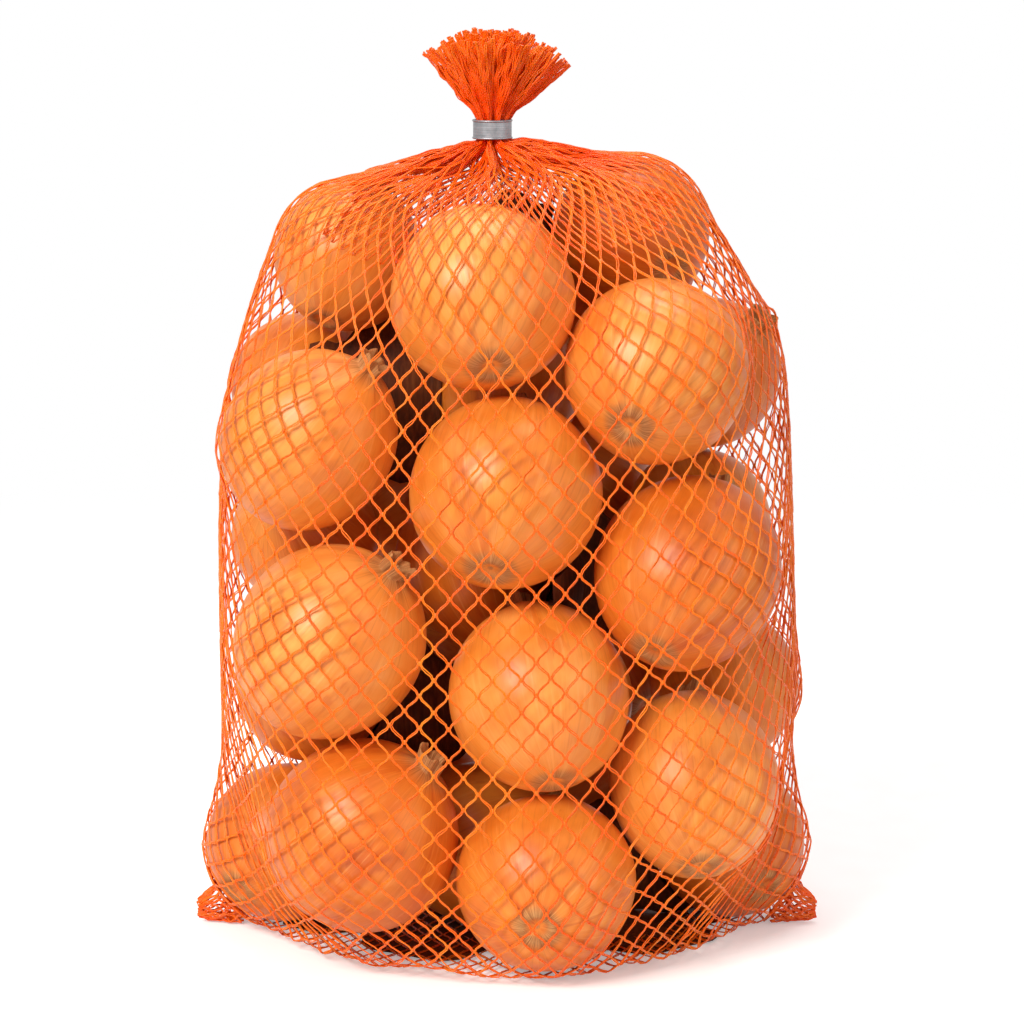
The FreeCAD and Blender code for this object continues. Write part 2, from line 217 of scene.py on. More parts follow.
class Finish(Nodes):
    """A material that is being built."""

    def __init__(self, name):
        self.material = bpy.data.materials.new(name)
        self.material.use_nodes = True
        super().__init__(self.material.node_tree)
        self.shader = self.tree.nodes["Principled BSDF"]

    def attribute(self, name, out="Fac"):
        return self.node("ShaderNodeAttribute", {"attribute_name": name}, out=out)

    def place(self):
        return self.node("ShaderNodeTexCoord", out="Object")

    def scaled(self, vector, scale, shift=(0, 0, 0)):
        return self.node("ShaderNodeMapping", {}, {"Vector": vector, "Scale": scale, "Location": shift})

    def noise(self, vector, scale, detail=4.0, roughness=0.55, distortion=0.0):
        sockets = {"Vector": vector, "Scale": scale, "Detail": detail, "Roughness": roughness}
        sockets["Distortion"] = distortion
        return self.node("ShaderNodeTexNoise", {}, sockets)

    def ramp(self, value, *stops):
        return self.node("ShaderNodeValToRGB", {"stops": stops}, {"Fac": value})

    def step(self, value, low, high):
        """A smooth change from 0 to 1 as value goes from low to high."""
        settings = {"interpolation_type": "SMOOTHSTEP", "clamp": True}
        return self.node("ShaderNodeMapRange", settings, {0: value, 1: low, 2: high, 3: 0.0, 4: 1.0})

    def mix(self, share, one, other, kind="MIX"):
        settings = {"data_type": "RGBA", "blend_type": kind}
        return self.node("ShaderNodeMix", settings, {0: share, 6: one, 7: other}, out=2)

    def bump(self, height, strength, distance):
        sockets = {"Height": height, "Strength": strength, "Distance": distance}
        return self.node("ShaderNodeBump", {}, sockets)

    def fixed(self, **values):
        """Sets sockets that stay the same all over the surface."""
        for name, value in values.items():
            self.shader.inputs[name.replace("_", " ")].default_value = value

    def done(self, **sockets):
        for name, value in sockets.items():
            self.feed(self.shader.inputs[name.replace("_", " ")], value)
        return self.material


def onion_skin():
    """Dry golden-brown skin: soft veins from root to neck, a faint second layer, and papery ends."""
    f = Finish("onion_skin")
    skin = f.attribute("skin", out="Vector")
    tone = f.attribute("tone")
    dry = f.attribute("dry")
    veins = f.noise(f.scaled(skin, (8.0, 8.0, 0.45)), 3.2, detail=4.0, roughness=0.6, distortion=0.2)
    fine = f.noise(f.scaled(skin, (30.0, 30.0, 1.2)), 3.0, detail=3.0, roughness=0.6)
    clouds = f.noise(f.scaled(skin, (1.0, 1.0, 1.2), (3.0, 1.0, 7.0)), 1.5, detail=3.0)
    blush = f.noise(f.scaled(skin, (2.0, 2.0, 1.2), (9.0, 4.0, 2.0)), 1.2, detail=2.0)
    layer = f.noise(f.scaled(skin, (1.6, 1.6, 0.7), (5.0, 8.0, 1.0)), 1.2, detail=4.0)
    warm = clouds * 0.7 + tone * 0.5 - 0.12
    skin_colour = f.ramp(
        warm,
        (0.16, srgb(250, 172, 84)),
        (0.38, srgb(240, 146, 52)),
        (0.60, srgb(224, 120, 32)),
        (0.85, srgb(200, 92, 20)),
    )
    torn = f.step(layer + dry * 0.10, 0.60, 0.63)
    skin_colour = f.mix(torn * 0.35, skin_colour, srgb(222, 160, 104), "MULTIPLY")
    skin_colour = f.mix(f.step(veins, 0.50, 0.74) * 0.30, skin_colour, srgb(176, 84, 24))
    skin_colour = f.mix(f.step(veins, 0.46, 0.26) * 0.28, skin_colour, srgb(255, 200, 118))
    skin_colour = f.mix(f.step(fine, 0.52, 0.74) * 0.14, skin_colour, srgb(150, 70, 22))
    skin_colour = f.mix(f.step(blush, 0.55, 0.75) * 0.22, skin_colour, srgb(206, 84, 26))
    papery = f.ramp(
        veins,
        (0.30, srgb(222, 170, 106)),
        (0.52, srgb(178, 116, 60)),
        (0.72, srgb(104, 56, 24)),
    )
    skin_colour = f.mix(f.step(dry, 0.30, 0.95), skin_colour, papery)
    roughness = 0.32 + fine * 0.10 + dry * 0.35
    lift = veins * 0.6 + fine * 0.2 + torn * 0.4
    normal = f.bump(lift, 0.35, 0.3 * MM)
    f.fixed(Specular_IOR_Level=0.45)
    return f.done(Base_Color=skin_colour, Roughness=roughness, Normal=normal)


def dark_skin_shade_finish():
    """Loose outer skins: thin and papery, their dark brown partly their own and partly painted shade for the
    gaps between the onions.
    """
    f = Finish("loose_skin_and_shade")
    skin = f.attribute("skin", out="Vector")
    veins = f.noise(f.scaled(skin, (7.0, 7.0, 0.6)), 3.0, detail=5.0, roughness=0.6, distortion=0.2)
    clouds = f.noise(skin, 2.2, detail=3.0)
    # Painted shade: browns darkened to the tone of the shaded gaps between the onions.
    colour = f.ramp(
        veins * 0.6 + clouds * 0.4,
        (0.30, srgb(128, 70, 32)),
        (0.50, srgb(92, 45, 20)),
        (0.70, srgb(52, 24, 11)),
    )
    normal = f.bump(veins * 0.7 + clouds * 0.3, 0.5, 0.5 * MM)
    f.fixed(Specular_IOR_Level=0.2)
    return f.done(Base_Color=colour, Roughness=0.5 + clouds * 0.3, Normal=normal)


def net_yarn():
    """Orange plastic filament, glossy, twisted a little, with painted shade: deeper red where the net is
    folded, in place of light bounced between crowded strands.
    """
    f = Finish("net_yarn")
    along = f.attribute("along")
    tone = f.attribute("tone")
    fold = f.attribute("fold")
    place = f.place()
    patches = f.noise(place, 26.0, detail=2.0)
    wisps = f.noise(place, 900.0, detail=2.0)
    beads = f.node("ShaderNodeMath", {"operation": "SINE"}, {0: along * (2 * math.pi / 1.15)})
    colour = f.ramp(
        tone * 0.6 + patches * 0.5 - 0.05,
        (0.2, srgb(255, 140, 22)),
        (0.5, srgb(254, 114, 6)),
        (0.8, srgb(246, 90, 0)),
    )
    # Painted shade: deeper red in the folds, where light bounces between crowded strands.
    colour = f.mix(fold * 0.85, colour, srgb(255, 72, 0))
    colour = f.mix(f.step(wisps, 0.62, 0.75) * 0.30, colour, srgb(255, 176, 70))
    roughness = 0.20 + wisps * 0.16
    normal = f.bump(beads * 0.5 + wisps * 0.5, 0.45, 0.18 * MM)
    f.fixed(Specular_IOR_Level=0.36)
    return f.done(Base_Color=colour, Roughness=roughness, Normal=normal)


def brushed_aluminium():
    """Matt rolled strip with fine lines round the ring and small scuffs."""
    f = Finish("brushed_aluminium")
    place = f.place()
    lines = f.noise(f.scaled(place, (40.0, 40.0, 2600.0)), 1.0, detail=3.0)
    scuffs = f.noise(place, 420.0, detail=4.0)
    grey = f.ramp(
        lines * 0.6 + scuffs * 0.4,
        (0.3, srgb(120, 121, 124)),
        (0.6, srgb(158, 159, 162)),
        (0.8, srgb(196, 197, 199)),
    )
    normal = f.bump(lines * 0.7 + scuffs * 0.3, 0.35, 0.05 * MM)
    f.fixed(Metallic=1.0)
    return f.done(Base_Color=grey, Roughness=0.34 + scuffs * 0.24, Normal=normal)


# Mesh helpers


def node_mesh(name):
    """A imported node's points and triangles as arrays."""
    mesh = frame["nodes"][name].data
    points = np.empty(len(mesh.vertices) * 3)
    mesh.vertices.foreach_get("co", points)
    corners = np.empty(len(mesh.loops), int)
    mesh.loops.foreach_get("vertex_index", corners)
    return points.reshape(-1, 3), corners.reshape(-1, 3)


def add_values(mesh, values):
    """Stores a number or a vector at each point for every named value."""
    for key, value in values.items():
        value = np.asarray(value, np.float32)
        single = value.ndim == 1
        store = mesh.attributes.new(key, "FLOAT" if single else "FLOAT_VECTOR", "POINT")
        store.data.foreach_set("value" if single else "vector", value.ravel())


def placed(name, mesh):
    """A new object at the origin."""
    piece = bpy.data.objects.new(name, mesh)
    bpy.context.scene.collection.objects.link(piece)
    return piece


def new_piece(name, points, faces, material, **values):
    """A smooth mesh object, with a number or a vector at each point for every named value."""
    mesh = bpy.data.meshes.new(name)
    mesh.from_pydata([tuple(p) for p in points], [], [tuple(face) for face in faces])
    mesh.polygons.foreach_set("use_smooth", [True] * len(mesh.polygons))
    add_values(mesh, values)
    mesh.materials.append(material)
    return placed(name, mesh)


def unit(vectors):
    return vectors / np.maximum(np.linalg.norm(vectors, axis=-1, keepdims=True), 1e-12)


def smooth_step(value, low, high):
    share = np.clip((value - low) / (high - low), 0, 1)
    return share * share * (3 - 2 * share)


# Onions


class Bulb:
    """An onion's place, axis and size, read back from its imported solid."""

    def __init__(self, name):
        self.name = name
        points, triangles = node_mesh(name)
        corners = points[triangles]
        cross = np.cross(corners[:, 1] - corners[:, 0], corners[:, 2] - corners[:, 0])
        area = np.linalg.norm(cross, axis=1) / 2
        normals = unit(cross)
        middles = corners.mean(1)
        ways, group = np.unique(np.round(normals, 2), axis=0, return_inverse=True)
        guess = unit(ways[np.bincount(group.ravel(), area).argmax()])
        tip = normals @ guess > 0.9995
        axis = unit((normals[tip] * area[tip, None]).sum(0))
        tip = (normals @ axis > 0.9999) & (middles @ axis > (middles @ axis).max() - 0.3 * MM)
        tip_place = np.average(middles[tip], axis=0, weights=area[tip])
        along = points @ axis
        self.axis = axis
        self.half_height = (along.max() - along.min() - NECK_REACH + ROOT_INSET) / 2
        self.centre = tip_place - axis * (self.half_height + NECK_REACH)
        offset = points - self.centre
        self.girth = np.linalg.norm(offset - (offset @ axis)[:, None] * axis, axis=1).max()
        side = np.cross(axis, (0.0, 0.0, 1.0) if abs(axis[2]) < 0.9 else (1.0, 0.0, 0.0))
        self.side = unit(side)
        self.front = np.cross(axis, self.side)
        self.girth *= SHRUNK.get(name, 1.0)
        self.half_height *= SHRUNK.get(name, 1.0)

    def profile(self):
        """Radius and height up the axis, from the middle of the root plate to inside the dry tip."""
        height = np.linspace(-self.half_height + 0.5 * MM, self.half_height + NECK_SHOWN, 420)
        share = np.clip(1 - (height / self.half_height) ** 2, 0, 1)
        bulb = self.girth * share**0.52
        up = (height - self.half_height * 0.72) / (NECK_SHOWN + self.half_height * 0.28)
        neck = 4.0 * MM + 1.6 * MM * np.clip(up, 0, 1) ** 2.5
        blend = 11.0 * MM
        near = np.clip(blend - np.abs(bulb - neck), 0, None) / blend
        radius = np.where(height > 0, np.maximum(bulb, neck) + near**2 * blend / 4, bulb)
        radius = np.minimum(radius, self.girth)
        root = np.array([(0.0, 2.4), (2.4, 2.1), (4.2, 1.2)]) * MM
        tip = np.array([(5.4, -0.4), (4.2, -3.0), (2.6, -6.0), (0.0, -7.5)]) * MM
        radii = np.concatenate([root[:, 0], radius, tip[:, 0]])
        heights = np.concatenate([root[:, 1] - self.half_height, height, tip[:, 1] + height[-1]])
        run = np.hypot(np.diff(radii), np.diff(heights))
        weight = 1 + 1.6 * (heights[1:] > self.half_height * 0.8) + 1.2 * (radii[1:] < 9 * MM)
        total = np.concatenate([[0], np.cumsum(run * weight)])
        wanted = np.linspace(0, total[-1], ALONG)
        return np.interp(wanted, total, radii), np.interp(wanted, total, heights)

    def build(self, number, material):
        random = np.random.default_rng(100 + number)
        radii, heights = self.profile()
        turn = 2 * math.pi * np.arange(AROUND) / AROUND
        angle, radius = np.meshgrid(turn, radii[1:-1])
        height = np.repeat(heights[1:-1, None], AROUND, 1)
        up = height / self.half_height
        neckness = smooth_step(height, self.half_height * 0.80, self.half_height + 0.5 * NECK_SHOWN)
        phases = random.uniform(0, 2 * math.pi, 8)
        wobble = 0.012 * np.cos(2 * angle + phases[0] + up) + 0.008 * np.cos(3 * angle + phases[1])
        wobble += 0.005 * np.cos(5 * angle + phases[2] - up * 1.5)
        pleats = 0.11 * np.cos(5 * angle + phases[3] + 2 * up) + 0.07 * np.cos(9 * angle + phases[4])
        radius = radius * (1 - 0.02 + wobble * (1 - neckness) + pleats * neckness)
        torn = 1.0 * MM * (np.cos(3 * angle + phases[5]) + 0.6 * np.cos(7 * angle + phases[6]))
        by_tip = smooth_step(height - self.half_height, 0.4 * NECK_SHOWN, NECK_SHOWN)
        height = height + (torn - 1.2 * MM) * by_tip
        bend = random.uniform(-2.5, 2.5, 2) * MM
        sway = smooth_step(up, 0.9, 1.25)
        across = radius * np.cos(angle) + bend[0] * sway
        deep = radius * np.sin(angle) + bend[1] * sway
        points = self.place(across, deep, height).reshape(-1, 3)
        ends = self.place(np.zeros(2), np.zeros(2), heights[[0, -1]])
        points = np.vstack([points, ends])
        rings = len(radii) - 2
        faces = ring_faces(rings, AROUND)
        south, north = rings * AROUND, rings * AROUND + 1
        top = (rings - 1) * AROUND
        faces += [(south, (c + 1) % AROUND, c) for c in range(AROUND)]
        faces += [(north, top + c, top + (c + 1) % AROUND) for c in range(AROUND)]
        offset = number * 3.7
        skin = np.stack([np.cos(angle), np.sin(angle), up], 2).reshape(-1, 3) + offset
        skin = np.vstack([skin, np.array([[0, 0, -1], [0, 0, 1.3]]) + offset])
        rooty = smooth_step(-up, 0.90, 1.0)
        dry = np.maximum(neckness, rooty).ravel()
        dry = np.append(dry, [1, 1])
        tone = np.full(len(points), random.uniform(0.1, 0.9))
        piece = new_piece(self.name + "_skin", points, faces, material, skin=skin, dry=dry, tone=tone)
        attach(piece, "bag")
        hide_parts(self.name)

    def place(self, across, deep, height):
        return (
            self.centre
            + across[..., None] * self.side
            + deep[..., None] * self.front
            + height[..., None] * self.axis
        )


def ring_faces(rings, count):
    faces = []
    for r in range(rings - 1):
        low, high = r * count, (r + 1) * count
        faces += [(low + c, low + (c + 1) % count, high + (c + 1) % count, high + c) for c in range(count)]
    return faces


# Net


class Net:
    """Knots in a tube of diamond cells. Odd rows sit half a column on from even ones."""

    def __init__(self, bulbs, gather):
        self.bulbs = bulbs
        self.gather = gather
        along = (0.5 * MM, 3.5 * MM)
        self.tips = np.array([b.centre + b.axis * (b.half_height + reach) for b in bulbs for reach in along])
        self.tip_radius = 5.6 * MM
        self.knots = self.start()
        self.first = self.knots.copy()
        up, around = tangents(self.knots)
        self.outward = unit(np.cross(around, up))

    def skin_tree(self):
        points, faces = [], []
        count = 0
        for name in ("net_front", "net_back"):
            some, triangles = node_mesh(name)
            points.append(some)
            faces.append(triangles + count)
            count += len(some)
        points = np.vstack(points)
        faces = np.vstack(faces)
        return BVHTree.FromPolygons([Vector(p) for p in points], [tuple(map(int, f)) for f in faces])

    def outline(self, tree, height):
        """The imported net's outside at one height, as a closed ring from the right-hand side."""
        share = height / self.gather[2]
        middle = Vector((self.gather[0] * share, 0, height))
        ring = []
        for k in range(OUTLINE_POINTS):
            angle = 2 * math.pi * k / OUTLINE_POINTS + 0.01  # clear of the join between the two halves
            way = Vector((math.cos(angle), math.sin(angle), 0))
            hit = tree.ray_cast(middle + way * 0.4, -way, 0.4)[0]
            ring.append(tuple(hit) if hit else tuple(middle + way * 9 * MM))
        return np.array(ring)

    def start(self):
        tree = self.skin_tree()
        heights = self.gather[2] * (1 - np.cos(np.pi * np.linspace(0.11, 0.985, 50))) / 2
        places = 2 * COLUMNS
        wall = np.empty((len(heights), places, 3))
        for level, height in enumerate(heights):
            ring = self.outline(tree, height)
            closed = np.vstack([ring, ring[:1]])
            run = np.concatenate([[0], np.cumsum(np.linalg.norm(np.diff(closed, axis=0), axis=1))])
            half = run[len(ring) // 2]
            for side, (low, high) in enumerate(((0, half), (half, run[-1]))):
                wanted = low + (high - low) * np.arange(COLUMNS) / COLUMNS
                for axis in range(3):
                    found = np.interp(wanted, run, closed[:, axis])
                    wall[level, side * COLUMNS : (side + 1) * COLUMNS, axis] = found
        knots = np.zeros((ROWS + 1, COLUMNS, 3))
        for place in range(places):
            path = self.column_path(place, wall[:, place])
            seg = np.linalg.norm(np.diff(path, axis=0), axis=1)
            run = np.concatenate([[0], np.cumsum(seg)])
            reach = np.hypot(path[:, 0] - self.gather[0] * path[:, 2] / self.gather[2], path[:, 1])
            width = np.clip(2 * math.pi * reach / COLUMNS, 0.5 * MM, 10.8 * MM)
            width[0] = 2 * SEAM_END * 2 / COLUMNS
            pace = 1 / np.sqrt(STRAND**2 - (width / 2) ** 2)
            count = np.concatenate([[0], np.cumsum(seg * (pace[1:] + pace[:-1]) / 2)])
            wanted = np.linspace(0, count[-1], ROWS + 1)
            at = np.interp(wanted, count, run)
            column = np.stack([np.interp(at, run, path[:, axis]) for axis in range(3)], 1)
            rows = np.arange(place % 2, ROWS + 1, 2)
            knots[rows, place // 2] = column[rows]
        return knots

    def seam_place(self, place):
        """Where a column begins on the bottom seam, which rises a little at its two ends."""
        share = 1 - 4 * place / (2 * COLUMNS) if place <= COLUMNS else -3 + 4 * place / (2 * COLUMNS)
        rise = 4.0 * MM * max(0.0, abs(share) - 0.93) / 0.07
        return np.array([share * SEAM_END, 0, FLOOR_LIFT + rise])

    def column_path(self, place, wall):
        seam = self.seam_place(place)
        share = abs(seam[0]) / SEAM_END
        skip = int(max(0, share - 0.80) / 0.20 * 9)
        under = wall[0] * 0.97
        under[2] = FLOOR_LIFT
        drawn = share**5
        under = (under * (1 - drawn) + seam * drawn)[None]
        ring = self.gather + self.pleated(place)
        return np.vstack([seam[None], under, wall[skip:], ring[None]])

    def pleated(self, place):
        """A column's place in the clip, where the net is folded into pleats."""
        angle = 2 * math.pi * place / (2 * COLUMNS)
        radius = 4.4 + 1.5 * math.cos(PLEATS * angle + PLEAT_TURN)
        radius += 0.5 * math.cos(SMALL_PLEATS * angle + SMALL_PLEAT_TURN)
        return np.array([radius * math.cos(angle), radius * math.sin(angle), 0]) * MM

    def push_out(self, points, lift=NET_LIFT):
        """Points moved out of the onions and off the floor, each the shortest way."""
        flat = points.reshape(-1, 3)
        for bulb in self.bulbs:
            wide = bulb.girth + lift
            tall = bulb.half_height + lift
            offset = flat - bulb.centre
            near = np.where((np.abs(offset) < max(wide, tall)).all(1))[0]
            if not len(near):
                continue
            offset = offset[near]
            along = offset @ bulb.axis
            across = offset - along[:, None] * bulb.axis
            depth = np.sqrt((across**2).sum(1) / wide**2 + (along / tall) ** 2)
            inside = (depth < 1) & (depth > 0.05)
            slope = across[inside] / wide**2 + along[inside][:, None] * bulb.axis / tall**2
            steep = np.linalg.norm(slope, axis=1)
            step = (1 - depth[inside]) * depth[inside] / steep**2
            flat[near[inside]] += slope * step[:, None]
        for tip in self.tips:
            offset = flat - tip
            distance = np.linalg.norm(offset, axis=1)
            reach = self.tip_radius + lift
            inside = (distance < reach) & (distance > 0.5 * MM)
            flat[inside] += offset[inside] * (reach / distance[inside] - 1)[:, None]
        flat[:, 2] = np.maximum(flat[:, 2], FLOOR_LIFT)
        return flat.reshape(points.shape)

    def relax(self):
        """Pulls the net taut over the onions, even and odd rows in turn."""
        knots = self.knots
        even = np.arange(2, ROWS, 2)
        odd = np.arange(1, ROWS, 2)
        low = 1 - smooth_step(self.first[..., 2:], 12 * MM, 42 * MM)
        holds = HOLD + (BASE_HOLD - HOLD) * low
        for _ in range(SWEEPS):
            for rows, turn in ((even, 1), (odd, -1)):
                above, below = knots[rows + 1], knots[rows - 1]
                ties = [above, np.roll(above, turn, 1), below, np.roll(below, turn, 1)]
                here = knots[rows]
                slide = ((here - self.first[rows]) * self.outward[rows]).sum(2, keepdims=True)
                hold = holds[rows]
                force = hold * (self.first[rows] + slide * self.outward[rows] - here)
                stiff = hold
                for tie in ties:
                    way = tie - here
                    length = np.maximum(np.linalg.norm(way, axis=2), 1e-6)
                    pull = np.maximum(length - SLACK_SHARE * STRAND, 0)
                    pull += TAUT * np.maximum(length - STRAND, 0)
                    force = force + way * (pull / length)[..., None]
                    stiff = stiff + 1 + TAUT * (length > STRAND)[..., None]
                knots[rows] = self.push_out(here + force / stiff)

    def pleat(self):
        """Folds the net into ridges that run into the clip: knots crowd towards each ridge's crest."""
        turn = 2 * math.pi * (2 * np.arange(COLUMNS) + np.arange(ROWS + 1)[:, None] % 2) / (2 * COLUMNS)
        reach = np.linalg.norm(self.knots - self.gather, axis=2)
        share = np.exp(-(((reach - 20 * MM) / (19 * MM)) ** 2)) * (reach < PLEAT_REACH)
        ridge = np.cos(PLEATS * turn + PLEAT_TURN) + 0.45 * np.cos(SMALL_PLEATS * turn + SMALL_PLEAT_TURN)
        flank = np.sin(PLEATS * turn + PLEAT_TURN)
        up, around = tangents(self.knots)
        outward = unit(np.cross(around, up))
        spacing = 2 * math.pi * reach / PLEATS
        moved = outward * (PLEAT_DEPTH * share * (ridge - 0.9))[..., None]
        moved = moved - around * (0.10 * spacing * share * flank)[..., None]
        moved[-1] = 0
        self.knots[:] = self.push_out(self.knots + moved)


def wale_path(knots, j):
    """The knots that strand j visits on its zigzag way up, and which side of each it lies on."""
    rows = np.arange(len(knots))
    left = rows % 2 == j % 2
    places = np.where(left, j, j + 1) % (2 * knots.shape[1])
    return knots[rows, places // 2], np.where(left, 1.0, -1.0), places


def tangents(knots):
    """The way up the bag at each knot, and the way round it."""
    up = np.empty_like(knots)
    up[1:-1] = knots[2:] - knots[:-2]
    up[0] = up[1]
    up[-1] = up[-2]
    around = np.roll(knots, -1, 1) - np.roll(knots, 1, 1)
    up = unit(up)
    around = around - (around * up).sum(2, keepdims=True) * up
    return up, unit(around)


# Strands


def strand_tree(name, material):
    """Turns lines into round filaments of the radius that is its input."""
    tree = bpy.data.node_groups.new(name, "GeometryNodeTree")
    tree.interface.new_socket("Lines", in_out="INPUT", socket_type="NodeSocketGeometry")
    radius = tree.interface.new_socket("Filament radius", in_out="INPUT", socket_type="NodeSocketFloat")
    tree.interface.new_socket("Filaments", in_out="OUTPUT", socket_type="NodeSocketGeometry")
    made = {
        key: tree.nodes.new(kind)
        for key, kind in (
            ("in", "NodeGroupInput"),
            ("curve", "GeometryNodeMeshToCurve"),
            ("ring", "GeometryNodeCurvePrimitiveCircle"),
            ("tube", "GeometryNodeCurveToMesh"),
            ("real", "GeometryNodeRealizeInstances"),
            ("paint", "GeometryNodeSetMaterial"),
            ("out", "NodeGroupOutput"),
        )
    }
    made["ring"].inputs["Resolution"].default_value = FILAMENT_SIDES
    made["tube"].inputs["Fill Caps"].default_value = True
    made["paint"].inputs["Material"].default_value = material
    for one, out, other, into in (
        ("in", "Lines", "curve", "Mesh"),
        ("in", "Filament radius", "ring", "Radius"),
        ("curve", "Curve", "tube", "Curve"),
        ("ring", "Curve", "tube", "Profile Curve"),
        ("tube", "Mesh", "real", "Geometry"),
        ("real", "Geometry", "paint", "Geometry"),
        ("paint", "Geometry", "out", "Filaments"),
    ):
        tree.links.new(made[one].outputs[out], made[other].inputs[into])
    return tree, radius.identifier


def bead_tree(name, material, bead):
    """Sets one small knitted loop at each point, turned to the point's two directions."""
    tree = bpy.data.node_groups.new(name, "GeometryNodeTree")
    tree.interface.new_socket("Joints", in_out="INPUT", socket_type="NodeSocketGeometry")
    size = tree.interface.new_socket("Size", in_out="INPUT", socket_type="NodeSocketFloat")
    tree.interface.new_socket("Loops", in_out="OUTPUT", socket_type="NodeSocketGeometry")
    kinds = (
        ("in", "NodeGroupInput"),
        ("bead", "GeometryNodeObjectInfo"),
        ("up", "GeometryNodeInputNamedAttribute"),
        ("out_way", "GeometryNodeInputNamedAttribute"),
        ("stand", "FunctionNodeAlignRotationToVector"),
        ("face", "FunctionNodeAlignRotationToVector"),
        ("set", "GeometryNodeInstanceOnPoints"),
        ("real", "GeometryNodeRealizeInstances"),
        ("paint", "GeometryNodeSetMaterial"),
        ("out", "NodeGroupOutput"),
    )
    made = {key: tree.nodes.new(kind) for key, kind in kinds}
    made["bead"].inputs["Object"].default_value = bead
    made["paint"].inputs["Material"].default_value = material
    for key in ("up", "out_way"):
        made[key].data_type = "FLOAT_VECTOR"
        made[key].inputs["Name"].default_value = key
    made["stand"].axis = "Z"
    made["face"].axis = "X"
    made["face"].pivot_axis = "Z"
    for one, out, other, into in (
        ("in", "Joints", "set", "Points"),
        ("bead", "Geometry", "set", "Instance"),
        ("up", "Attribute", "stand", "Vector"),
        ("out_way", "Attribute", "face", "Vector"),
        ("stand", "Rotation", "face", "Rotation"),
        ("face", "Rotation", "set", "Rotation"),
        ("in", "Size", "set", "Scale"),
        ("set", "Instances", "real", "Geometry"),
        ("real", "Geometry", "paint", "Geometry"),
        ("paint", "Geometry", "out", "Loops"),
    ):
        tree.links.new(made[one].outputs[out], made[other].inputs[into])
    return tree, size.identifier


def baked(name, source, tree, inputs):
    """The mesh that a node tree makes from a source object, as a new object; the source is removed."""
    modifier = source.modifiers.new("grow", "NODES")
    modifier.node_group = tree
    for key, value in inputs.items():
        modifier[key] = value
    bpy.context.view_layer.update()
    seen = source.evaluated_get(bpy.context.evaluated_depsgraph_get())
    mesh = bpy.data.meshes.new_from_object(seen)
    mesh.name = name
    mesh.polygons.foreach_set("use_smooth", [True] * len(mesh.polygons))
    bpy.data.objects.remove(source)
    return placed(name, mesh)


def line_object(name, lines, values):
    """Lines of points as a mesh of edges, with a number at each point for every named value."""
    points = np.vstack(lines)
    edges = []
    first = 0
    for line in lines:
        edges += [(first + k, first + k + 1) for k in range(len(line) - 1)]
        first += len(line)
    mesh = bpy.data.meshes.new(name)
    mesh.from_pydata([tuple(p) for p in points], edges, [])
    add_values(mesh, {key: np.concatenate(value) for key, value in values.items()})
    return placed(name, mesh)


def joined(name, pieces):
    """Several mesh objects as one."""
    with bpy.context.temp_override(active_object=pieces[0], selected_editable_objects=pieces):
        bpy.ops.object.join()
    pieces[0].name = name
    return pieces[0]


def loop_bead():
    """A knitted joint: a short lump with three turns of yarn showing."""
    rings = 5
    sides = 5
    points = []
    for r in range(rings):
        share = (r + 0.5) / rings * 2 - 1
        swell = math.sqrt(1 - share**2) * (1.0 if r % 2 == 0 else 0.72)
        for s in range(sides):
            angle = 2 * math.pi * (s + 0.5 * (r % 2)) / sides
            points.append((0.48 * swell * math.cos(angle), 0.78 * swell * math.sin(angle), 1.15 * share))
    points += [(0, 0, -1.2), (0, 0, 1.2)]
    faces = ring_faces(rings, sides)
    south, north = rings * sides, rings * sides + 1
    top = (rings - 1) * sides
    faces += [(south, (s + 1) % sides, s) for s in range(sides)]
    faces += [(north, top + s, top + (s + 1) % sides) for s in range(sides)]
    mesh = bpy.data.meshes.new("loop_bead")
    mesh.from_pydata([Vector(p) * MM for p in points], [], faces)
    return placed("loop_bead", mesh)


